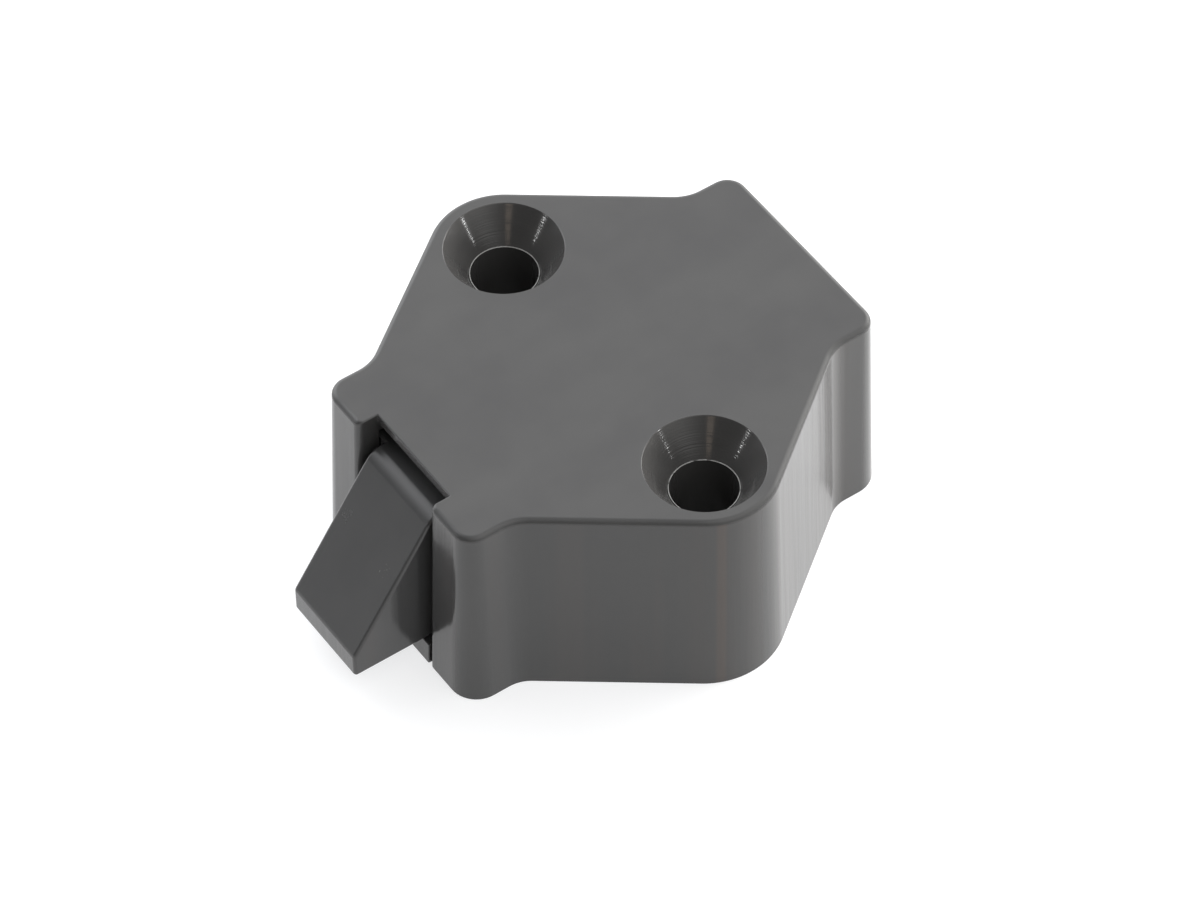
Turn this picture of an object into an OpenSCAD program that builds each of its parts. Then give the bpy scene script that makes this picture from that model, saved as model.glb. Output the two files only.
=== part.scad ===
// Surface-mounted spring latch for a cabinet door that is opened by a push button.
// The moulded case is screwed to the inside of the door. A button on the outside drives
// a blade through the hole in the base plate, and the blade's tip draws the bolt back.
// Z points away from the door, X runs through the two screws, the bolt points to -Y.
// The origin is on the mounting face, midway between the screws. All sizes are in mm.

/* [Case] */
// Overall length of the case along the bolt, at the mounting face
case_l = 34; // [33.5:0.5:38]
// Height of the case
case_h = 16; // [15:0.5:19]
// Radius of the two corners that hold the screws, at the mounting face
corner_r = 5.6; // [5.3:0.1:6.4]
// Angle between the slanted flanks and the bolt
flank_angle = 36.5; // [34:0.5:42]
// Thickness beside the bolt's channel in the two ears, at the mounting face
cheek = 2.5; // [2.2:0.1:3.5]
// Radius of the four ear corners, at the mounting face
ear_r = 2; // [1.2:0.1:2.6]
// Radius of the four hollow corners between ears and flanks, at the mounting face
waist_r = 2.5; // [1.5:0.1:3.2]
// Draft of the outer walls, in degrees
draft = 2; // [1:0.5:3]
// Thickness of the outer walls where they meet the cover
wall = 1.4; // [1.2:0.1:1.8]
// Thickness of the cover
cover_t = 1.6; // [1.3:0.1:2.2]
// Rounding of the edge round the cover
edge_r = 0.4; // [0.2:0.1:0.8]

/* [Screws] */
// Distance between the two screws
screw_spacing = 22.8; // [22:0.2:27]
// Diameter of the screw holes
screw_d = 4.6; // [4:0.1:4.8]
// Diameter of the countersinks at the cover
sink_d = 8.1; // [7:0.1:8.6]
// Depth of the countersinks
sink_depth = 2.5; // [2:0.1:3.5]
// Thickness of the bosses round the screw holes
boss_wall = 1.9; // [1.6:0.1:2]

/* [Bolt] */
// Width of the bolt's nose
bolt_w = 7.2; // [6.4:0.1:8]
// How far the nose stands out of the case, which is also its travel
bolt_throw = 5.4; // [4:0.1:5.6]
// Height of the blunt tip below the slope
tip_h = 2; // [1:0.1:4]
// How far the slope runs in past the case's front, at the mounting face
slope_in = 1.1; // [0.4:0.1:1.6]
// Rounding between tip and slope
tip_r = 0.6; // [0.3:0.1:1]
// Rounding at the top of the slope
crown_r = 1.4; // [0.6:0.1:2]
// Rounding along the nose's side edges
nose_edge = 0.25; // [0.1:0.05:0.5]
// Width of each shoulder that stops the bolt behind the front wall
shoulder = 2.6; // [2.2:0.1:2.8]

/* [Button blade] */
// Width of the button's blade
blade_w = 6; // [5:0.2:7]
// Length of the button's blade along the bolt
blade_l = 8; // [7:0.2:9]
// Height of the blade's tip above the mounting face, with the button out
blade_tip_z = 7.2; // [6.4:0.2:7.6]

/* [Springs] */
// Outer diameter of the two springs
spring_d = 4; // [3.2:0.1:4.2]
// Diameter of the spring wire
wire_d = 0.4; // [0.3:0.05:0.5]
// Turns of each spring, with the closed turn at each end
spring_turns = 9; // [7:1:10]
// Thickness between the two spring pockets
pocket_web = 1.4; // [1:0.1:1.6]
// Thickness over the spring pockets
pocket_roof = 1; // [0.7:0.1:1.4]
// Thickness between the ramp and the spring pockets
ramp_skin = 1; // [0.7:0.1:1.4]
// Length of the pegs that centre the springs on the rear wall
spigot_l = 1.8; // [1:0.1:2.4]

/* [Base plate] */
// Thickness of the base plate
plate_t = 1.4; // [1.2:0.1:1.8]
// Height of the sill under the bolt above the plate's inner face
sill_step = 0.4; // [0.2:0.1:0.8]
// Diameter of the plate's four pegs
peg_d = 1.5; // [1.3:0.1:1.6]
// Length of the pegs
peg_l = 4; // [3:0.5:6]
// Distance of the pegs from the line through the screws
peg_y = 6.9; // [6.4:0.1:7.2]
// Distance of the pegs from the inside of the flanks
post_off = 1.6; // [1.4:0.1:1.8]
// Radius of the posts that hold the pegs
post_r = 1.5; // [1.4:0.1:1.6]

/* [Fits] */
// Running clearance of the bolt on its runners and beside them
run_gap = 0.1; // [0.05:0.05:0.2]
// Gap on each side of the nose in the front slot
slot_gap = 0.55; // [0.3:0.05:0.8]
// Gap between the bolt's top and the cover
top_gap = 0.6; // [0.4:0.05:1]
// Gap between the shoulders and the front stops, with the bolt out
stop_gap = 0.1; // [0.05:0.05:0.2]
// Room left behind the bolt when it is drawn back
back_gap = 0.5; // [0.3:0.1:0.6]
// Gap between blade and bolt
blade_gap = 0.3; // [0.2:0.1:0.5]
// Gap round the base plate
plate_gap = 0.1; // [0.05:0.05:0.2]
// Gap round the pegs
peg_gap = 0.05; // [0.02:0.01:0.1]
// Gap round the springs in their pockets
pocket_gap = 0.3; // [0.2:0.05:0.4]
// Gap between the springs and the pegs inside them
spigot_gap = 0.2; // [0.1:0.05:0.4]

/* [Hidden] */
$fn = 48;

// Colours
CASE_GREY = [0.27, 0.27, 0.28];
BOLT_GREY = [0.24, 0.24, 0.25];
PLATE_GREY = [0.22, 0.22, 0.23];
STEEL = [0.72, 0.73, 0.75];

// Overcut of every hole past the faces that it opens
cut = 1;
// Depth to which one block of the base plate is let into another
root = 0.3;
// Width of the webs between the posts and the flanks
post_web = 2.2;
// Least radius of an inner corner
inner_r = 0.3;
// Steps in a corner of the case, in its rounded edge and in a corner of the nose
corner_steps = 8;
screw_corner_steps = 16;
edge_steps = 4;
nose_steps = 6;
// Sides of the spring wire and its steps in one turn
wire_sides = 8;
turn_steps = 20;
// Angle of the ramp that the blade pushes
ramp_angle = 45;
// Pitch of the closed end turns, for each wire diameter
closed_pitch = 1.06;
// Width of the runners under and over the bolt
runner_w = 1.2;
// Rounding of the vertical edges beside the bolt in the case's front
lip_r = 0.5;
// Rounding of the base plate's points
point_r = 0.7;
// Distance by which the front stops and the rear seat stand proud of the walls
stop_proud = 0.2;

// Case
cover_z = case_h - cover_t;
function lean(z) = z * tan(draft);
channel_w = bolt_w + 2 * shoulder + 2 * run_gap;
guide_t = cheek / 2;
ear_w = channel_w + 2 * cheek;
// The hollow has upright walls, so the outer walls grow thicker towards the mounting face
hollow_inset = wall + lean(cover_z);
stop_y = -(case_l / 2 - hollow_inset - stop_proud);
seat_y = -stop_y;
slot_w = bolt_w + 2 * slot_gap;
screw_x = screw_spacing / 2;
boss_r = screw_d / 2 + boss_wall;

// Base plate
plate_recess = plate_gap;
plate_top = plate_recess + plate_t;
sill_z = plate_top + sill_step;
button_hole_d = norm([blade_w, blade_l]) + 2 * run_gap + 2 * blade_gap + 0.2;
flank = [cos(flank_angle), sin(flank_angle)];
flank_d = flank.x * screw_x + corner_r;
peg_x = (flank_d - hollow_inset - post_off - flank.y * peg_y) / flank.x;

// Bolt
bolt_bottom = sill_z + run_gap;
bolt_top = cover_z - top_gap;
tip_y = -case_l / 2 - bolt_throw;
crown_y = -case_l / 2 + slope_in;
slider_w = bolt_w + 2 * shoulder;
slider_front = stop_y + stop_gap;
slider_rear = seat_y - bolt_throw - back_gap;
window_w = blade_w + 2 * blade_gap;
window_front = -(blade_l / 2 + bolt_throw + blade_gap);
// The ramp is the plane where y + z equals ramp_sum
ramp_sum = blade_l / 2 + blade_tip_z;
window_rear = slider_rear - 2;

// Springs
pocket_r = spring_d / 2 + pocket_gap;
spring_x = pocket_r + pocket_web / 2;
spring_z = bolt_top - pocket_roof - pocket_r;
pocket_y = ramp_sum - (spring_z - pocket_r) + ramp_skin / sin(ramp_angle);
spigot_r = spring_d / 2 - wire_d - spigot_gap;
end_gap = 0.03;
spring_front = pocket_y + end_gap;
spring_l = seat_y - end_gap - spring_front;

// Points along an arc
function arc(centre, r, from, to, steps) =
    [for (i = [0 : steps])
        let (a = from + (to - from) * i / steps)
        centre + r * [cos(a), sin(a)]];

// Distance from the screws' line at which a flank, moved in by inset, passes the given x
function flank_y(x, inset) = (flank_d - inset - flank.x * x) / flank.y;

// Right half of the case's outline, from front to rear, moved in by inset. The hollow corner's
// arc takes no more of the ear's side than the ear corner's arc leaves it
function half_outline(inset) =
    let (
        side_x = ear_w / 2 - inset,
        ear_arc = max(ear_r - inset, inner_r),
        ear = [side_x - ear_arc, case_l / 2 - inset - ear_arc],
        waist_arc = min(waist_r + inset, (ear.y - flank_y(side_x, inset)) / tan(flank_angle / 2)),
        waist = [side_x + waist_arc, flank_y(side_x + waist_arc, inset - waist_arc)]
    )
    concat(
        arc([ear.x, -ear.y], ear_arc, -90, 0, corner_steps),
        arc([waist.x, -waist.y], waist_arc, 180, 180 - flank_angle, corner_steps),
        arc([screw_x, 0], corner_r - inset, -flank_angle, flank_angle, screw_corner_steps),
        arc(waist, waist_arc, 180 + flank_angle, 180, corner_steps),
        arc(ear, ear_arc, 0, 90, corner_steps)
    );

// Whole outline, whose left half is the right one turned round
function outline(inset) =
    let (half = half_outline(inset))
    concat(half, [for (p = half) -p]);

// Solid through a stack of outlines, each given as [inset, z], from the bottom up
module loft(levels) {
    count = len(outline(0));
    last = len(levels) - 1;
    polyhedron(
        points = [for (level = levels) for (p = outline(level[0])) [p.x, p.y, level[1]]],
        faces = concat(
            [[for (i = [0 : count - 1]) i]],
            [for (k = [0 : last - 1]) for (i = [0 : count - 1])
                let (j = (i + 1) % count)
                [k * count + i, (k + 1) * count + i, (k + 1) * count + j, k * count + j]],
            [[for (i = [count - 1 : -1 : 0]) last * count + i]]
        )
    );
}

module both_sides() {
    children();
    mirror([1, 0, 0]) children();
}

module four_ways() {
    both_sides() {
        children();
        mirror([0, 1, 0]) children();
    }
}

// Lays a flat profile, drawn as [y, z], across the part as a bar of the given width
module across(width) {
    rotate([90, 0, 90]) linear_extrude(width, center = true) children();
}

// Box between two corners
module block(low, high) {
    translate(low) cube(high - low);
}

// Case

module case_solid() {
    shoulder_z = case_h - edge_r;
    loft(concat(
        [[0, 0]],
        [for (i = [0 : edge_steps])
            let (a = 90 * i / edge_steps)
            [lean(shoulder_z) + edge_r * (1 - cos(a)), shoulder_z + edge_r * sin(a)]]
    ));
}

module case_hollow() {
    translate([0, 0, -cut]) linear_extrude(cover_z + cut) polygon(outline(hollow_inset));
}

// Walls of the bolt's channel, with the stops behind the front wall and the seat at the rear
module channel_walls() {
    z0 = plate_top + run_gap;
    z1 = cover_z + cut;
    y1 = case_l / 2;
    guide_x = channel_w / 2 + guide_t;
    both_sides() {
        block([channel_w / 2, -y1, z0], [guide_x, y1, z1]);
        block([0, -y1, z0], [guide_x, stop_y, z1]);
    }
    block([-guide_x, seat_y, z0], [guide_x, y1, z1]);
}

module screw_bosses() {
    both_sides() translate([screw_x, 0, -2 * cut]) cylinder(h = cover_z + 3 * cut, r = boss_r);
}

// Posts for the base plate's pegs, each joined to the flank by a web
module peg_posts() {
    post_h = cover_z + cut - plate_top;
    four_ways() translate([peg_x, peg_y, plate_top]) {
        cylinder(h = post_h, r = post_r);
        rotate(flank_angle) translate([0, -post_web / 2, 0]) cube([2 * post_off, post_web, post_h]);
    }
}

module spring_spigots() {
    both_sides() translate([spring_x, seat_y + cut, spring_z])
        rotate([90, 0, 0]) cylinder(h = spigot_l + cut, r = spigot_r);
}

module screw_holes() {
    slant = (sink_d - screw_d) / 2 / sink_depth;
    both_sides() translate([screw_x, 0, 0]) {
        translate([0, 0, -cut]) cylinder(h = case_h + 2 * cut, d = screw_d);
        translate([0, 0, case_h - sink_depth])
            cylinder(h = sink_depth + cut, r1 = screw_d / 2, r2 = sink_d / 2 + cut * slant);
    }
}

module peg_sockets() {
    four_ways() translate([peg_x, peg_y, plate_top - cut])
        cylinder(h = peg_l + 2 * peg_gap + cut, d = peg_d + 2 * peg_gap);
}

// Slot for the bolt, open at the front, at the cover and at the mounting face
module front_slot() {
    block([-slot_w / 2, -case_l / 2 - cut, -cut], [slot_w / 2, stop_y, case_h + cut]);
    both_sides() translate([slot_w / 2, -case_l / 2, 0]) rotate([-draft, 0, 0]) translate([0, 0, -cut])
        linear_extrude(case_h + 2 * cut) difference() {
            translate([-cut, -cut]) square(lip_r + cut);
            translate([lip_r, lip_r]) circle(lip_r);
        }
}

// What stands inside the case is kept back from the hollow, so it always meets the walls and the cover
module housing() {
    color(CASE_GREY) difference() {
        case_solid();
        difference() {
            case_hollow();
            screw_bosses();
            channel_walls();
            peg_posts();
            spring_spigots();
        }
        screw_holes();
        peg_sockets();
        front_slot();
    }
}

// Bolt

function unit(v) = v / norm(v);

// Arc of radius r that rounds the corner b between the points a and c
function rounded(a, b, c, r) =
    let (
        u = unit(a - b),
        w = unit(c - b),
        half = acos(u * w) / 2,
        centre = b + unit(u + w) * r / sin(half),
        p = b + u * r / tan(half) - centre,
        q = b + w * r / tan(half) - centre,
        from = atan2(p.y, p.x),
        turn = atan2(p.x * q.y - p.y * q.x, p * q)
    )
    arc(centre, r, from, from + turn, nose_steps);

// Side view of the nose: blunt tip, slope and flat top, as [y, z]
function nose_profile() =
    let (
        heel = [tip_y, bolt_bottom],
        tip = [tip_y, bolt_bottom + tip_h],
        crown = [crown_y, bolt_top],
        top = [slider_front + shoulder, bolt_top],
        foot = [slider_front + shoulder, bolt_bottom]
    )
    concat(
        rounded(foot, heel, tip, nose_edge),
        rounded(heel, tip, crown, tip_r),
        rounded(tip, crown, top, crown_r),
        [top, foot]
    );

// The side edges are rounded by stacking slices of the profile from side to side
module nose() {
    hull() for (a = [0 : 30 : 90])
        across(bolt_w - 2 * nose_edge * (1 - cos(a)))
            offset(delta = -nose_edge * (1 - sin(a))) polygon(nose_profile());
}

module slider() {
    block([-slider_w / 2, slider_front, bolt_bottom], [slider_w / 2, slider_rear, bolt_top]);
    both_sides() block(
        [slider_w / 2 - runner_w, slider_front, plate_top + run_gap],
        [slider_w / 2, slider_rear, cover_z - run_gap]
    );
}

// Window for the button's blade, whose rear wall leans forward as the ramp
module blade_window() {
    ramp_foot_z = ramp_sum - window_rear;
    over = bolt_top + cut;
    across(window_w) polygon([
        [window_front, -cut],
        [window_rear, -cut],
        [window_rear, ramp_foot_z],
        [ramp_sum - over, over],
        [window_front, over]
    ]);
}

module spring_pockets() {
    both_sides() translate([spring_x, slider_rear + cut, spring_z])
        rotate([90, 0, 0]) cylinder(h = slider_rear + cut - pocket_y, r = pocket_r);
}

module latch_bolt() {
    color(BOLT_GREY) difference() {
        union() {
            nose();
            slider();
        }
        blade_window();
        spring_pockets();
    }
}

// Springs

// Distance along the spring of the wire's centre after t turns
function coil_rise(t) =
    let (
        closed = closed_pitch * wire_d,
        pitch = (spring_l - wire_d - 2 * closed) / (spring_turns - 2)
    )
    wire_d / 2 + (t < 1 ? closed * t
        : t > spring_turns - 1 ? spring_l - wire_d - closed * (spring_turns - t)
        : closed + pitch * (t - 1));

// One ring of points round the wire after t turns
function wire_ring(t) =
    let (coil_r = (spring_d - wire_d) / 2)
    [for (k = [0 : wire_sides - 1])
        let (b = 360 * k / wire_sides, r = coil_r + wire_d / 2 * cos(b))
        [r * cos(360 * t), coil_rise(t) + wire_d / 2 * sin(b), r * sin(360 * t)]];

module coil_spring() {
    rings = spring_turns * turn_steps;
    polyhedron(
        points = [for (i = [0 : rings]) each wire_ring(i / turn_steps)],
        faces = concat(
            [[for (k = [0 : wire_sides - 1]) k]],
            [for (i = [0 : rings - 1]) for (k = [0 : wire_sides - 1])
                let (n = (k + 1) % wire_sides, a = i * wire_sides, b = a + wire_sides)
                [a + k, b + k, b + n, a + n]],
            [[for (k = [wire_sides - 1 : -1 : 0]) rings * wire_sides + k]]
        )
    );
}

module spring_left() {
    color(STEEL) translate([-spring_x, spring_front, spring_z]) coil_spring();
}

module spring_right() {
    color(STEEL) translate([spring_x, spring_front, spring_z]) coil_spring();
}

// Base plate

// The plate fills the case's rim and passes round the screw bosses, with its sharp points rounded off
module plate_outline() {
    offset(r = point_r) offset(delta = -point_r) difference() {
        polygon(outline(hollow_inset + plate_gap));
        both_sides() translate([screw_x, 0]) circle(boss_r + plate_gap);
    }
}

// Tongue that closes the front slot under the bolt, flush with the case's front
module sill() {
    front = -case_l / 2 + lean(sill_z);
    block([-slot_w / 2 + plate_gap, front, plate_recess], [slot_w / 2 - plate_gap, stop_y - stop_gap, sill_z]);
    block([-slot_w / 2 + plate_gap, front, plate_recess], [slot_w / 2 - plate_gap, stop_y + root, plate_top]);
}

module base_plate() {
    color(PLATE_GREY) difference() {
        union() {
            translate([0, 0, plate_recess]) linear_extrude(plate_t) plate_outline();
            sill();
            four_ways() translate([peg_x, peg_y, plate_top - root]) cylinder(h = peg_l + root, d = peg_d);
        }
        translate([0, 0, -cut]) cylinder(h = plate_top + 2 * cut, d = button_hole_d);
    }
}

housing();
latch_bolt();
spring_left();
spring_right();
base_plate();
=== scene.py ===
from math import cos, degrees, pi, radians, sin, tan

import bmesh
import bpy
from mathutils import Matrix, Vector


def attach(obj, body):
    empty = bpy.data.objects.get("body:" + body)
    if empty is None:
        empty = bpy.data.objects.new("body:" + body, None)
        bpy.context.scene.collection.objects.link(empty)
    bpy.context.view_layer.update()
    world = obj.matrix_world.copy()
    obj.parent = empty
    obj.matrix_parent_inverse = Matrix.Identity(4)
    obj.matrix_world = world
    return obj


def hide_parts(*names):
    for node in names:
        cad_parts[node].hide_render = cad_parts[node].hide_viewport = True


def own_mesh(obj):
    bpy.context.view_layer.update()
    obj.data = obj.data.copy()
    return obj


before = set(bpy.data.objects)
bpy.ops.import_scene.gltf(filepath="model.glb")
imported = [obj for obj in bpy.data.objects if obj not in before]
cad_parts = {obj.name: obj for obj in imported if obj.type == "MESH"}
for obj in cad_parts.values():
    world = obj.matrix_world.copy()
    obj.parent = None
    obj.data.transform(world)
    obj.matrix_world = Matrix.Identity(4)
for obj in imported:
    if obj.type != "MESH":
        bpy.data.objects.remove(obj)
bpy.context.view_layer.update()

# Case
# The case is one moulding in dark grey plastic, open underneath, with walls that lean in by two
# degrees so that it leaves its mould. Both screw holes are countersunk, the front ear is slotted
# for the bolt, and inside stand the bolt's channel, two bosses, four posts and two spring pegs.

# Sizes of pieces are in millimetres, and each finished mesh is scaled to metres. Shapes that
# are joined or cut overlap by a hair, and cuts run past the faces that they open.
MM, hair, past = 0.001, 0.01, 1.0
case_l, case_h = 34.0, 16.0
ear_half, ear_r, waist_r = 8.8, 2.0, 2.5
screw_x, corner_r = 11.4, 5.6
flank_turn = 36.5
flank = radians(flank_turn)
flank_d = cos(flank) * screw_x + corner_r
slope_of_walls = tan(radians(2))
edge_r, foot_r, lip_r, inside_r = 0.4, 0.08, 0.5, 0.3
cover_z, slot_half, stop_y = 14.4, 4.15, 14.897
hollow_inset = 1.4 + cover_z * slope_of_walls
plate_top, channel_gap = 1.5, 0.1
channel_half, guide_half, guide_end = 6.3, 7.55, 16.0
boss_r = 4.2
screw_r, sink_r, sink_z = 2.3, 4.05, 13.5
peg_x, peg_y, peg_socket_r, peg_socket_z = 8.903, 6.9, 0.8, 5.6
post_r, post_off, post_web = 1.5, 1.6, 2.2
spring_x, spring_z, spigot_r, spigot_l, spigot_edge = 3.0, 10.5, 1.4, 1.8, 0.3


def arc(x, y, r, start, stop, steps, hollow=False):
    """Points round an upright corner, each with the direction that leads out of the plastic."""
    found = []
    for i in range(steps + 1):
        a = radians(start + (stop - start) * i / steps)
        out = Vector((cos(a), sin(a)))
        found.append((Vector((x, y)) + r * out, -out if hollow else out))
    return found


def flank_y(x, inset):
    """Where a flank that is moved in by inset passes x."""
    return (flank_d - inset - cos(flank) * x) / sin(flank)


def side_corners(inset, corner, screw_end=None):
    """The case's right side from its front corner to its rear one, moved in by inset."""
    ear_x, ear_y = ear_half - inset - corner, case_l / 2 - inset - corner
    hollow = waist_r + inset
    waist_x = ear_half + waist_r
    waist_y = flank_y(waist_x, -waist_r)
    if screw_end is None:
        screw_end = arc(screw_x, 0, corner_r - inset, -flank_turn, flank_turn, 32)
    return (
        arc(ear_x, -ear_y, corner, -90, 0, 12)
        + arc(waist_x, -waist_y, hollow, 180, 180 - flank_turn, 10, hollow=True)
        + screw_end
        + arc(waist_x, waist_y, hollow, 180 + flank_turn, 180, 10, hollow=True)
        + arc(ear_x, ear_y, corner, 0, 90, 12)
    )


def mirrored(right):
    """The same points on the left, in the order that closes the outline."""
    return [tuple(Vector((-v.x, v.y)) for v in vectors) for vectors in reversed(right)]


def solid(name, rings):
    """A closed mesh through rings of points, in millimetres, with a face over each end."""
    mesh = bmesh.new()
    rows = [[mesh.verts.new(p) for p in ring] for ring in rings]
    for low, high in zip(rows, rows[1:]):
        for i in range(len(low)):
            j = (i + 1) % len(low)
            mesh.faces.new((low[i], low[j], high[j], high[i]))
    mesh.faces.new(rows[0][::-1])
    mesh.faces.new(rows[-1])
    bmesh.ops.recalc_face_normals(mesh, faces=mesh.faces)
    data = bpy.data.meshes.new(name)
    mesh.to_mesh(data)
    mesh.free()
    piece = bpy.data.objects.new(name, data)
    bpy.context.scene.collection.objects.link(piece)
    return piece


def circle(steps):
    """The angles of so many points round a circle."""
    return [2 * pi * i / steps for i in range(steps)]


def upright(points, low, high):
    """A prism over a flat outline."""
    return solid("prism", [[(x, y, z) for x, y in points] for z in (low, high)])


def turned(x, profile, steps=96, y=0.0):
    """A body turned about an upright axis, from its [radius, height] profile."""
    return solid("turned", [[(x + r * cos(a), y + r * sin(a), z) for a in circle(steps)]
                            for r, z in profile])


def lying(x, z, profile, steps=48):
    """A body turned about an axis along the bolt, from its [radius, distance] profile."""
    return solid("lying", [[(x + r * cos(a), y, z + r * sin(a)) for a in circle(steps)]
                           for r, y in profile])


def block(low, high, edge=0.0):
    """A box, with its edges broken by a chamfer where edge isn't 0."""
    (x0, y0, z0), (x1, y1, z1) = low, high

    def ring(inset, z):
        """The box's outline at a height, moved in by inset."""
        a, b, c, d, e = x0 + inset, x1 - inset, y0 + inset, y1 - inset, edge
        if not edge:
            return [(a, c, z), (b, c, z), (b, d, z), (a, d, z)]
        return [(a + e, c, z), (b - e, c, z), (b, c + e, z), (b, d - e, z),
                (b - e, d, z), (a + e, d, z), (a, d - e, z), (a, c + e, z)]

    if not edge:
        return solid("block", [ring(0, z0), ring(0, z1)])
    return solid("block", [ring(edge, z0), ring(0, z0 + edge), ring(0, z1 - edge), ring(edge, z1)])


def evaluated(piece):
    """The piece's mesh with its modifiers applied."""
    graph = bpy.context.evaluated_depsgraph_get()
    return bpy.data.meshes.new_from_object(piece.evaluated_get(graph))


def combine(piece, operation, *tools):
    """Cuts the tools out of the piece, or joins them to it, one after the other."""
    for tool in tools:
        step = piece.modifiers.new("step", "BOOLEAN")
        step.operation, step.object, step.solver = operation, tool, "EXACT"
        old = piece.data
        piece.data = evaluated(piece)
        piece.modifiers.clear()
        bpy.data.meshes.remove(old)
        bpy.data.objects.remove(tool)
    return piece


merge_distance, sharp_from = 0.002, radians(32)


def finished(piece, name, body, node, material):
    """Scales a piece to metres, shades it smooth between sharp edges and ties it to the frame."""
    mesh = bmesh.new()
    mesh.from_mesh(piece.data)
    bmesh.ops.remove_doubles(mesh, verts=mesh.verts, dist=merge_distance)
    bmesh.ops.dissolve_degenerate(mesh, edges=mesh.edges, dist=merge_distance)
    bmesh.ops.recalc_face_normals(mesh, faces=mesh.faces)
    for face in mesh.faces:
        face.smooth = True
    for edge in mesh.edges:
        edge.smooth = edge.calc_face_angle(pi) < sharp_from
    bmesh.ops.scale(mesh, vec=(MM, MM, MM), verts=mesh.verts)
    mesh.to_mesh(piece.data)
    mesh.free()
    piece.name = piece.data.name = name
    piece.data.materials.clear()
    piece.data.materials.append(material)
    weighted = piece.modifiers.new("normals", "WEIGHTED_NORMAL")
    weighted.keep_sharp = True
    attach(piece, body)
    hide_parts(node)


class Wire:
    """A socket of a material, so that its maths is written as an expression."""

    def __init__(self, tree, socket):
        self.tree, self.socket = tree, socket

    def node(self, kind, settings=None, values=None, out=0):
        """Any node: its settings first, then the values or links of its sockets."""
        made = self.tree.nodes.new(kind)
        for name, value in (settings or {}).items():
            setattr(made, name, value)
        for key, value in (values or {}).items():
            if isinstance(value, Wire):
                self.tree.links.new(value.socket, made.inputs[key])
            else:
                made.inputs[key].default_value = value
        return Wire(self.tree, made.outputs[out])

    def math(self, operation, *values):
        """A Math node on these values."""
        return self.node("ShaderNodeMath", {"operation": operation}, dict(enumerate(values)))

    def vector_math(self, operation, *values, out=0):
        """A Vector Math node on these values."""
        return self.node("ShaderNodeVectorMath", {"operation": operation},
                         dict(enumerate(values)), out)

    def __add__(self, other):
        return self.math("ADD", self, other)

    __radd__ = __add__

    def __sub__(self, other):
        return self.math("SUBTRACT", self, other)

    def __rsub__(self, other):
        return self.math("SUBTRACT", other, self)

    def __mul__(self, other):
        if self.socket.type == "VECTOR":
            return self.vector_math("MULTIPLY", self, other)
        return self.math("MULTIPLY", self, other)

    __rmul__ = __mul__

    def __truediv__(self, other):
        return self.math("DIVIDE", self, other)

    def __rtruediv__(self, other):
        return self.math("DIVIDE", other, self)

    def __abs__(self):
        return self.math("ABSOLUTE", self)

    def part(self, axis):
        """One axis of a vector."""
        return self.node("ShaderNodeSeparateXYZ", None, {0: self}, out=axis)

    def blend(self, low, high):
        """The colour low where the wire is 0 and the colour high where it is 1."""
        # 6 and 7 are the Mix node's two colours, and 2 is its colour output
        return self.node("ShaderNodeMix", {"data_type": "RGBA"},
                         {"Factor": self, 6: low, 7: high}, out=2)

    def step(self, low, high):
        """0 below low, 1 above high and smooth between; low may be the larger."""
        return self.node("ShaderNodeMapRange", {"interpolation_type": "SMOOTHSTEP"},
                         {"Value": self, "From Min": low, "From Max": high}, out="Result")

    def noise(self, scale, detail=2.0):
        """Noise about 0.5 on a place in millimetres, with so many humps to the millimetre."""
        return self.node("ShaderNodeTexNoise", None,
                         {"Vector": self, "Scale": scale, "Detail": detail}, out="Fac")


def new_material(name):
    """An empty material, its shader and a wire with the place on the piece in millimetres."""
    material = bpy.data.materials.new(name)
    material.use_nodes = True
    tree = material.node_tree
    shader = tree.nodes["Principled BSDF"]
    place = Wire(tree, tree.nodes.new("ShaderNodeTexCoord").outputs["Object"])
    return material, shader, place * (1 / MM, 1 / MM, 1 / MM)


def feed(shader, **inputs):
    """Links wires to the shader's sockets, and sets plain values on them."""
    tree = shader.id_data
    for name, value in inputs.items():
        socket = shader.inputs[name.replace("_", " ")]
        if isinstance(value, Wire):
            tree.links.new(value.socket, socket)
        else:
            socket.default_value = value


# The turn of the painted reflection band on each screw corner
reflection_band_turn = radians(23)


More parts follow.
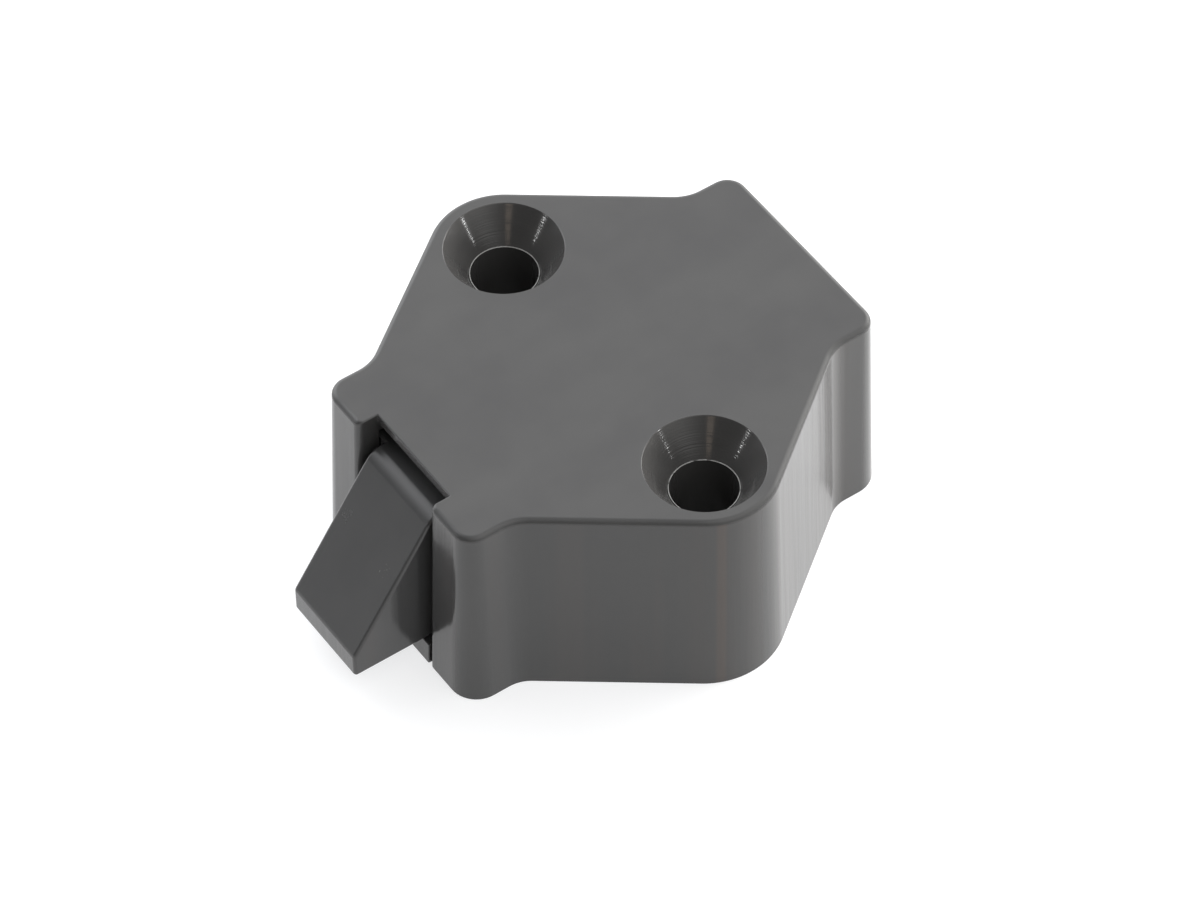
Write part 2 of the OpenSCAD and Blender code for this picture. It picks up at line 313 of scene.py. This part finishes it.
def moulded_plastic(name, dark, light, satin=0.43, erosion=0.5, screw_holes=False):
    """Satin moulded plastic: an eroded cover, smoother walls with faint upright draw marks."""
    wall_rough, drilled_rough = 0.17, 0.13
    draw_depth, ring_depth, relief = 14.0, 11.0, 0.000006
    warm_band, warm_reflection = (0.049, 0.0445, 0.0425, 1), (0.058, 0.046, 0.040, 1)
    cut_grey, burr_glint_grey = (0.052, 0.051, 0.050, 1), (0.40, 0.40, 0.39, 1)
    material, shader, place = new_material(name)
    normal = place.node("ShaderNodeNewGeometry", out="Normal")
    wall = normal.part("Z").step(0.45, 0.2)
    # The melt's flow from front to rear leaves faint bands and clouds in the colour
    flow = (place * (0.18, 0.045, 0.05)).noise(1.0, 3.0)
    cloud = place.noise(0.35, 4.0)
    tone = flow.step(0.3, 0.7) * 0.6 + cloud.step(0.3, 0.7) * 0.4
    tone = 0.5 + (tone - 0.5) * (1 - wall * 0.75)
    colour = tone.blend(dark, light)
    # Draw marks run straight up the walls, whose warmth varies a little from band to band
    drawn = (place * (1, 1, 0.02)).noise(1.4, 2.0)
    band = (place * (0.35, 0.35, 0.01)).noise(1.0, 2.0).step(0.4, 0.65)
    colour = (wall * band * 0.4).blend(colour, warm_band)
    grain = place.noise(8.0, 2.0)
    rough = satin + (grain - 0.5) * 0.12 * erosion + (cloud - 0.5) * 0.06
    rough = rough + wall * (wall_rough + (drawn - 0.5) * 0.12 - rough)
    height = grain * erosion * (1 - wall) + wall * drawn * draw_depth
    if screw_holes:
        # A faint warm band down each screw corner is a painted reflection of the table beside it,
        # not a mark in the plastic
        x, y, high = abs(place.part("X")) - screw_x, place.part("Y"), place.part("Z") - sink_z
        painted_reflection = abs(x * sin(reflection_band_turn) + y * cos(reflection_band_turn)).step(0.5, 0.15)
        painted_reflection = painted_reflection * x.step(2.0, 3.0) * wall
        colour = (painted_reflection * (0.6 + drawn * 0.4)).blend(colour, warm_reflection)
        # The holes are drilled and countersunk later, which leaves them smooth, with a thin burr
        # round each hole
        away = x.math("SQRT", x * x + y * y)
        drilled = away.step(sink_r + 0.05, sink_r)
        rough = rough + drilled * (drilled_rough - rough)
        # The cutter leaves fine rings, which draw out each glint into a line down the slope
        rings = away.noise(11.0, 2.0)
        height = height + drilled * (rings * ring_depth - height)
        colour = drilled.blend(colour, cut_grey)
        # The burr is real, but its pale, broken ring of colour is a painted highlight where it
        # would glint
        burr_and_glint = away.step(screw_r + 0.07, screw_r + 0.05)
        burr_and_glint = burr_and_glint * high.step(0.01, 0.02) * high.step(0.12, 0.09)
        torn_glint = (place * (2.0, 2.0, 0.5)).noise(1.0, 2.0).step(0.25, 0.45)
        colour = (burr_and_glint * torn_glint).blend(colour, burr_glint_grey)
    bump = height.node("ShaderNodeBump", None,
                       {"Strength": 0.2, "Distance": relief, "Height": height}, out="Normal")
    feed(shader, Base_Color=colour, Roughness=rough, Normal=bump, IOR=1.5)
    return material


case_plastic = moulded_plastic("case_plastic", (0.0325, 0.0324, 0.0331, 1),
                               (0.0440, 0.0440, 0.0434, 1), screw_holes=True)

# Right half of the case's plan at the foot, from the slot's rear corner round to the rear ear.
# Each point goes with its way out of the plastic, the way it leans and its share of the fillet.
slot_r, slot_share, slot_back = 0.03, 0.3, stop_y - hair
plan = []
for p, out in arc(slot_half - slot_r, -slot_back - slot_r, slot_r, 90, 0, 4, hollow=True):
    plan.append((p, out, Vector((0, 0)), slot_share))
lip = arc(slot_half + lip_r, -case_l / 2 + lip_r, lip_r, 180, 270, 8)
for i, (p, out) in enumerate(lip):
    plan.append((p, out, Vector((0, 1)), slot_share + (1 - slot_share) * i / (len(lip) - 1)))
for p, out in side_corners(0, ear_r):
    plan.append((p, out, -out, 1))
flip = Vector((-1, 1))
plan += [(p * flip, out * flip, lean * flip, share) for p, out, lean, share in reversed(plan)]


def case_ring(rounding, a, top):
    """The case's outline at angle a of the rounding along its cover or its foot."""
    ring = []
    for p, out, lean, share in plan:
        r = rounding * share
        z = r * (1 - sin(a))
        z = case_h - z if top else z
        q = p + lean * z * slope_of_walls - out * r * (1 - cos(a))
        ring.append((q.x, q.y, z))
    return ring


round_steps = 6
quarter = [pi / 2 * i / round_steps for i in range(round_steps + 1)]
case = solid("case", [case_ring(foot_r, a, False) for a in quarter[::-3]]
             + [case_ring(edge_r, a, True) for a in quarter])

inside = side_corners(hollow_inset, inside_r)
hollow = upright([p for p, out in inside + mirrored(inside)], -past, cover_z)
channel_z, over = plate_top + channel_gap, cover_z + past
for side in (-1, 1):
    combine(hollow, "DIFFERENCE", turned(side * screw_x, [(boss_r, -2 * past), (boss_r, over)]))
    left, right = sorted((side * channel_half, side * guide_half))
    combine(hollow, "DIFFERENCE",
            block((left, -guide_end, channel_z), (right, guide_end, over)))
    for end in (-1, 1):
        post = [(post_r, plate_top), (post_r, over)]
        combine(hollow, "DIFFERENCE", turned(side * peg_x, post, 40, end * peg_y))
        foot = Vector((side * peg_x, end * peg_y))
        along = Vector((side * cos(flank), end * sin(flank)))
        beside = Vector((-along.y, along.x)) * post_web / 2
        head = foot + along * 2 * post_off
        web = [foot - beside, foot + beside, head + beside, head - beside]
        combine(hollow, "DIFFERENCE", upright(web, plate_top, over))
for front, rear in ((-guide_end, -stop_y), (stop_y, guide_end)):
    combine(hollow, "DIFFERENCE",
            block((-guide_half + hair, front, channel_z), (guide_half - hair, rear, over)))
spigot_tip = stop_y - spigot_l
spigot = [(spigot_r - spigot_edge, spigot_tip), (spigot_r, spigot_tip + spigot_edge),
          (spigot_r, guide_end)]
for side in (-1, 1):
    combine(hollow, "DIFFERENCE", lying(side * spring_x, spring_z, spigot))
combine(case, "DIFFERENCE", hollow)

# The drill leaves a thin burr where the hole meets the countersink, whose upper edge is broken.
# Both are given as steps out and up, from the countersink's foot and from its upper edge.
burr_section = ((0, 0.03), (0.025, 0.065), (0.055, 0.055), (0.08, 0.01))
broken_edge = ((-0.05, -0.09), (0, -0.03), (0.03, 0), (0.03, past))
sink = [(screw_r, -past)]
sink += [(screw_r + out, sink_z + rise) for out, rise in burr_section]
sink += [(sink_r + out, case_h + rise) for out, rise in broken_edge]
socket = [(peg_socket_r, 0), (peg_socket_r, peg_socket_z)]
for side in (-1, 1):
    combine(case, "DIFFERENCE", turned(side * screw_x, sink))
    for end in (-1, 1):
        combine(case, "DIFFERENCE", turned(side * peg_x, socket, 32, end * peg_y))
# The cover's edge over the bolt is thin, and its underside is cut back behind it
edge_under_z, cut_back, cut_down = case_h - 0.75, 1.0, 0.1
combine(case, "DIFFERENCE",
        block((-slot_half - hair, -slot_back - slot_r - hair, cover_z - cut_down),
              (slot_half + hair, -slot_back + cut_back, edge_under_z)))
finished(case, "moulded_case", "case", "housing", case_plastic)

# Bolt
# The spring bolt is a second moulding in the same grey. Its sloped nose stands out of the slot,
# and inside the case a slider runs between the channel's walls on four rails. The slider has a
# window with a ramp for the push button's blade, and two blind pockets for the springs.

bolt_bottom, bolt_top = 2.0, 13.8
nose_half, tip_y, tip_z, crown_y, nose_rear = 3.6, -22.4, 4.0, -15.9, -12.197
tip_round, crown_round, heel_round, side_round = 0.6, 1.4, 0.27, 0.25
slider_half, slider_front, slider_rear, slider_edge = 6.2, -14.797, 8.997, 0.15
runner_w, runner_in, runner_bottom, runner_top, runner_edge = 1.2, 0.02, 1.6, 14.3, 0.12
window_half, window_front, window_rear, window_top, ramp_sum = 3.3, -9.7, 6.997, 15.0, 11.2
pocket_r, pocket_y, pocket_edge = 2.3, 4.414, 0.2


def rounded(before, corner, after, r, steps):
    """An arc of radius r in a corner of a flat outline."""
    u, w = (before - corner).normalized(), (after - corner).normalized()
    half = u.angle(w) / 2
    centre = corner + (u + w).normalized() * r / sin(half)
    start, stop = corner + u * r / tan(half) - centre, corner + w * r / tan(half) - centre
    turn = start.angle_signed(stop)
    return [centre + Matrix.Rotation(-turn * i / steps, 2) @ start for i in range(steps + 1)]


def nose_outline(inset):
    """The nose from the side, as [y, z], with every edge moved in by inset."""
    corners = [Vector(v) for v in ((nose_rear, bolt_bottom), (tip_y, bolt_bottom), (tip_y, tip_z),
                                   (crown_y, bolt_top), (nose_rear, bolt_top))]
    moved = []
    for i, corner in enumerate(corners):
        u = (corner - corners[i - 1]).normalized()
        w = (corners[(i + 1) % len(corners)] - corner).normalized()
        a, b = Vector((u.y, -u.x)), Vector((w.y, -w.x))
        moved.append(corner + (a + b) * inset / (1 + a.dot(b)))
    rear, heel, tip, crown, top = moved
    outline = rounded(rear, heel, tip, heel_round - inset, 6)
    outline += rounded(heel, tip, crown, tip_round - inset, 10)
    outline += rounded(tip, crown, top, crown_round - inset, 10)
    return outline + [top, rear]


# From the left face to the right one, the side view grows and shrinks through the rounded edges
sections = [(-1, a) for a in quarter] + [(1, a) for a in quarter[::-1]]
bolt = solid("bolt", [[(side * (nose_half - side_round * (1 - cos(a))), y, z)
                       for y, z in nose_outline(side_round * (1 - sin(a)))]
                      for side, a in sections])
slider = block((-slider_half, slider_front, bolt_bottom),
               (slider_half, slider_rear, bolt_top - hair), slider_edge)
for side in (-1, 1):
    left, right = sorted((side * slider_half, side * (slider_half - runner_w)))
    combine(slider, "UNION",
            block((left, slider_front + runner_in, runner_bottom),
                  (right, slider_rear - runner_in, runner_top), runner_edge))
combine(bolt, "UNION", slider)
window = [(window_front, 0), (window_rear, 0), (window_rear, ramp_sum - window_rear),
          (ramp_sum - window_top, window_top), (window_front, window_top)]
combine(bolt, "DIFFERENCE",
        solid("window", [[(x, y, z) for y, z in window] for x in (-window_half, window_half)]))
mouth_r = pocket_r + pocket_edge
pocket = [(pocket_r, pocket_y), (pocket_r, slider_rear - pocket_edge),
          (mouth_r, slider_rear), (mouth_r, slider_rear + past)]
for side in (-1, 1):
    combine(bolt, "DIFFERENCE", lying(side * spring_x, spring_z, pocket))
bolt_plastic = moulded_plastic("bolt_plastic", (0.036, 0.036, 0.0365, 1),
                               (0.041, 0.041, 0.041, 1), satin=0.26, erosion=0.12)
finished(bolt, "spring_bolt", "bolt", "latch_bolt", bolt_plastic)

# Springs
# Two coil springs of bright drawn steel wire push the bolt out. Each has a closed turn at both
# ends, sits in the bolt's pocket and is centred on a peg of the case's rear wall.

spring_front, spring_l, coil_r, wire_r = 4.444, 10.423, 1.8, 0.2
turns, turn_steps, wire_steps = 9, 40, 14
# The pitch of a closed turn, in radii of the wire
closed_pitch = 2.12
steel, shader, place = new_material("spring_steel")
scratch = (place * (1, 0.2, 1)).noise(6.0, 3.0)
feed(shader, Base_Color=(0.62, 0.63, 0.65, 1), Metallic=1.0, Roughness=0.22 + scratch * 0.16)


def spring_tree():
    """Geometry Nodes that wind a wire round an axis along Y, with one closed turn at each end."""
    tree = bpy.data.node_groups.new("coil_spring", "GeometryNodeTree")
    sockets = {}
    for name, default in (("Front", 0.0), ("Axis X", 0.0), ("Axis Z", 0.0), ("Length", 1.0),
                          ("Coil radius", 1.0), ("Wire radius", 0.1), ("Turns", 9.0)):
        socket = tree.interface.new_socket(name, in_out="INPUT", socket_type="NodeSocketFloat")
        socket.default_value = default
        sockets[name] = socket.identifier
    tree.interface.new_socket("Geometry", in_out="OUTPUT", socket_type="NodeSocketGeometry")
    given = tree.nodes.new("NodeGroupInput")

    def value(name):
        """The wire from one of the tree's inputs."""
        return Wire(tree, given.outputs[name])

    steps = turns * turn_steps
    line = value("Length").node("GeometryNodeCurvePrimitiveLine")
    line = line.node("GeometryNodeResampleCurve", None, {"Curve": line, "Count": steps + 1})
    along = line.node("GeometryNodeSplineParameter", out="Factor") * value("Turns")
    wire = value("Wire radius")
    closed = wire * closed_pitch
    pitch = (value("Length") - wire * 2 - closed * 2) / (value("Turns") - 2)
    first = along.math("MINIMUM", along, 1.0)
    last = along.math("MAXIMUM", along - (value("Turns") - 1), 0.0)
    rise = wire + closed * (first + last) + pitch * (along - first - last)
    angle = along * (2 * pi)
    x = value("Axis X") + value("Coil radius") * angle.math("COSINE", angle)
    z = value("Axis Z") + value("Coil radius") * angle.math("SINE", angle)
    place = x.node("ShaderNodeCombineXYZ", None, {0: x, 1: value("Front") + rise, 2: z})
    helix = line.node("GeometryNodeSetPosition", None, {"Geometry": line, "Position": place})
    ring = line.node("GeometryNodeCurvePrimitiveCircle", None,
                     {"Resolution": wire_steps, "Radius": wire})
    tube = helix.node("GeometryNodeCurveToMesh", None,
                      {"Curve": helix, "Profile Curve": ring, "Fill Caps": True})
    real = tube.node("GeometryNodeRealizeInstances", None, {"Geometry": tube})
    shown = real.node("GeometryNodeSetMaterial", None, {"Geometry": real, "Material": steel})
    out = tree.nodes.new("NodeGroupOutput")
    tree.links.new(shown.socket, out.inputs[0])
    return tree, sockets


coil_tree, coil_inputs = spring_tree()
for side, name in ((-1, "left"), (1, "right")):
    blank = bpy.data.meshes.new("blank")
    spring = bpy.data.objects.new(name + "_spring", blank)
    bpy.context.scene.collection.objects.link(spring)
    coil = spring.modifiers.new("coil", "NODES")
    coil.node_group = coil_tree
    for key, size in (("Front", spring_front), ("Axis X", side * spring_x),
                      ("Axis Z", spring_z), ("Length", spring_l),
                      ("Coil radius", coil_r), ("Wire radius", wire_r)):
        coil[coil_inputs[key]] = size * MM
    coil[coil_inputs["Turns"]] = float(turns)
    wound = evaluated(spring)
    spring.modifiers.clear()
    spring.data = wound
    bpy.data.meshes.remove(blank)
    for face in wound.polygons:
        face.use_smooth = len(face.vertices) == 4
    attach(spring, "case")
    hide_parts("spring_" + name)
    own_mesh(spring)

# Base plate
# A flat moulded plate closes the case from below and keeps the bolt and springs in. Four pegs
# hold it in the case's posts, a sill closes the slot under the bolt, and the push button's
# blade reaches the bolt through its round hole.

plate_gap, plate_low, plate_edge, point_r = 0.1, 0.1, 0.12, 0.7
button_r, lead_in, top_edge = 5.5, 0.2, 0.1
peg_r, peg_l, peg_root, peg_edge = 0.75, 4.0, 0.3, 0.25
sill_half, sill_z, sill_edge, sill_gap = slot_half - 0.04, 1.9, 0.05, 0.1
tongue_in, tongue_front, tongue_rear, tongue_thin = 0.08, 0.5, 0.3, 0.02
plate_inset = hollow_inset + plate_gap
ring_r = boss_r + plate_gap
# The point between flank and boss is rounded off about a centre that is as far from both
across = flank_d - plate_inset - point_r - cos(flank) * screw_x
aside = ((ring_r + point_r) ** 2 - across ** 2) ** 0.5
point = Vector((screw_x + cos(flank) * across - sin(flank) * aside,
                -sin(flank) * across - cos(flank) * aside))
boss_turn = -degrees(Vector((1, 0)).angle_signed(Vector((screw_x, 0)) - point))
lower = arc(point.x, point.y, point_r, -flank_turn, boss_turn, 6)
around = arc(screw_x, 0, ring_r, boss_turn - 180, -180 - boss_turn, 24, hollow=True)
upper = arc(point.x, -point.y, point_r, -boss_turn, flank_turn, 6)
rim = side_corners(plate_inset, point_r, screw_end=lower + around + upper)
rim = rim + mirrored(rim)


def plate_ring(inset, z):
    """The plate's outline at a height, moved in by inset."""
    return [((p - out * inset).x, (p - out * inset).y, z) for p, out in rim]


plate = solid("plate", [plate_ring(plate_edge, plate_low), plate_ring(0, plate_low + plate_edge),
                        plate_ring(0, plate_top - plate_edge), plate_ring(plate_edge, plate_top)])
# The sill's face leans back with the case's front and is flush with it
front, sill = -case_l / 2, []
for side in (-1, 1):
    for out, e in ((0, sill_edge), (sill_edge, 0))[::-side]:
        low, high = hair + e, sill_z - e
        foot_y, head_y = (front + z * slope_of_walls + e for z in (low, high))
        rear_y = -stop_y - sill_gap - e
        sill.append([(side * (sill_half - out), y, z) for y, z in (
            (foot_y, low + sill_edge), (foot_y + sill_edge, low), (rear_y, low),
            (rear_y, high), (head_y + sill_edge, high), (head_y, high - sill_edge))])
tongue = block((-sill_half + tongue_in, front + tongue_front, plate_low + tongue_thin),
               (sill_half - tongue_in, -stop_y + tongue_rear, plate_top - tongue_thin))
combine(plate, "UNION", solid("sill", sill), tongue)
peg_top = plate_top + peg_l
peg = [(peg_r, plate_top - peg_root), (peg_r, peg_top - peg_edge), (peg_r - peg_edge, peg_top)]
for side in (-1, 1):
    for end in (-1, 1):
        combine(plate, "UNION", turned(side * peg_x, peg, 32, end * peg_y))
hole = [(button_r + lead_in, plate_low - past), (button_r + lead_in, plate_low),
        (button_r, plate_low + lead_in), (button_r, plate_top - top_edge),
        (button_r + top_edge, plate_top), (button_r + top_edge, plate_top + past)]
combine(plate, "DIFFERENCE", turned(0, hole))
plate_plastic = moulded_plastic("plate_plastic", (0.035, 0.035, 0.0355, 1),
                                (0.041, 0.0405, 0.040, 1))
finished(plate, "base_plate_moulding", "case", "base_plate", plate_plastic)

# Table
# The latch lies on its mounting face on a plain white table in a soft white tent. The tent glows
# behind the latch and to both sides and is dim round the camera, and four small lamps stand in
# it. Lengths in this section are in metres.

azimuth, elevation, roll = radians(55.234), radians(50.033), radians(-0.434)
distance, lens, sensor = 0.37533, 172.341, 36
# The middle of the picture, seen from the middle of the cover
shift_right, shift_up = -0.000216, -0.006286
back = Vector((sin(azimuth) * cos(elevation), -cos(azimuth) * cos(elevation), sin(elevation)))
right = Vector((cos(azimuth), sin(azimuth), 0))
up = back.cross(right)
target = Vector((0, 0, case_h * MM)) + right * shift_right + up * shift_up
camera = bpy.data.objects.new("camera", bpy.data.cameras.new("camera"))
bpy.context.scene.collection.objects.link(camera)
turned_right = right * cos(roll) + up * sin(roll)
turned_up = up * cos(roll) - right * sin(roll)
camera.matrix_world = Matrix((turned_right, turned_up, back)).transposed().to_4x4()
camera.location = target + back * distance
camera.data.lens, camera.data.sensor_width = lens, sensor
camera.data.clip_start, camera.data.clip_end = 0.01, 20
bpy.context.scene.camera = camera

table_half, table_z = 1.5, -0.00003
table = bpy.data.meshes.new("table")
table.from_pydata([(x * table_half, y * table_half, table_z)
                   for x, y in ((-1, -1), (1, -1), (1, 1), (-1, 1))], [], [(0, 1, 2, 3)])
floor = bpy.data.objects.new("table", table)
bpy.context.scene.collection.objects.link(floor)
white, shader, place = new_material("white_table")
feed(shader, Base_Color=(0.35, 0.35, 0.35, 1), Roughness=0.7,
     Emission_Color=(0.985, 0.99, 1, 1), Emission_Strength=0.71)
# Seen from below, the table is clear, so that the latch's underside can be looked at
facing = place.node("ShaderNodeNewGeometry", out="Backfacing")
clear = place.node("ShaderNodeBsdfTransparent", out="BSDF")
matt = Wire(place.tree, shader.outputs["BSDF"])
top_only = place.node("ShaderNodeMixShader", None, {0: facing, 1: matt, 2: clear}, out="Shader")
surface = place.tree.nodes["Material Output"].inputs["Surface"]
place.tree.links.new(top_only.socket, surface)
table.materials.append(white)


def from_latch(turn, rise):
    """The way to a place in the tent: its turn to the right of the camera, and its rise."""
    near = Vector((back.x, back.y, 0)).normalized()
    level = near * cos(radians(turn)) + right * sin(radians(turn))
    return level * cos(radians(rise)) + Vector((0, 0, 1)) * sin(radians(rise))


tent = bpy.data.worlds.new("tent")
bpy.context.scene.world = tent
tent.use_nodes = True
coordinates = tent.node_tree.nodes.new("ShaderNodeTexCoord")
seen = Wire(tent.node_tree, coordinates.outputs["Generated"])
cool, warm, plain = (0.985, 0.995, 1.02), (1.01, 1.0, 0.985), (1, 1, 1)
# Each glow of the tent: its turn, its rise, its strength and its tint
glows = ((45, 62, 1.85, plain), (0, 35, 0.12, plain), (45, 35, 1.0, warm),
         (135, 35, 2.6, warm), (225, 35, 4.1, cool), (90, 8, 0.24, warm),
         (135, 8, 4.6, warm), (180, 8, 1.1, plain), (225, 8, 1.9, cool))
glow_focus = 8.0
light = None
for turn, rise, glow, tint in glows:
    near = seen.vector_math("DOT_PRODUCT", seen, from_latch(turn, rise), out="Value")
    near = near.math("POWER", near.math("MAXIMUM", near, 0.0), glow_focus)
    patch = near.node("ShaderNodeCombineXYZ", None, {i: near * (glow * tint[i]) for i in range(3)})
    light = patch if light is None else light.vector_math("ADD", light, patch)
# Behind the latch itself the camera sees plain white
eye = seen.node("ShaderNodeLightPath", out="Is Camera Ray")
light = eye.blend(light, (1, 1, 1, 1))
seen.tree.links.new(light.socket, seen.tree.nodes["Background"].inputs["Color"])


def small_lamp(name, turn, rise, power, wide, tall, colour=(1, 1, 1), away=0.6):
    """A small lamp that the camera doesn't see, pointed at the latch."""
    lamp = bpy.data.lights.new(name, "AREA")
    lamp.shape, lamp.size, lamp.size_y = "RECTANGLE", wide, tall
    lamp.energy, lamp.color = power, colour
    stand = bpy.data.objects.new(name, lamp)
    bpy.context.scene.collection.objects.link(stand)
    stand.visible_camera = False
    way = from_latch(turn, rise)
    stand.location = way * away + Vector((0, 0, case_h * MM / 2))
    stand.rotation_mode = "QUATERNION"
    stand.rotation_quaternion = (-way).to_track_quat("-Z", "Y")
    return stand


# The first three draw the fine lines in the countersinks. The last one lights the table beside
# the far flank, and the plastic doesn't mirror it.
small_lamp("left_lamp", -74, 16, 0.20, 0.02, 0.06)
small_lamp("right_lamp", 74, 16, 0.20, 0.02, 0.06)
small_lamp("warm_lamp", -10, 20, 0.055, 0.11, 0.10, colour=(1.0, 0.8, 0.64))
side_lamp = small_lamp("side_lamp", 105, 12, 0.050, 0.06, 0.015,
                       colour=(1.0, 0.99, 0.96), away=0.07)
side_lamp.visible_glossy = False
bpy.context.scene.view_settings.view_transform = "Standard"
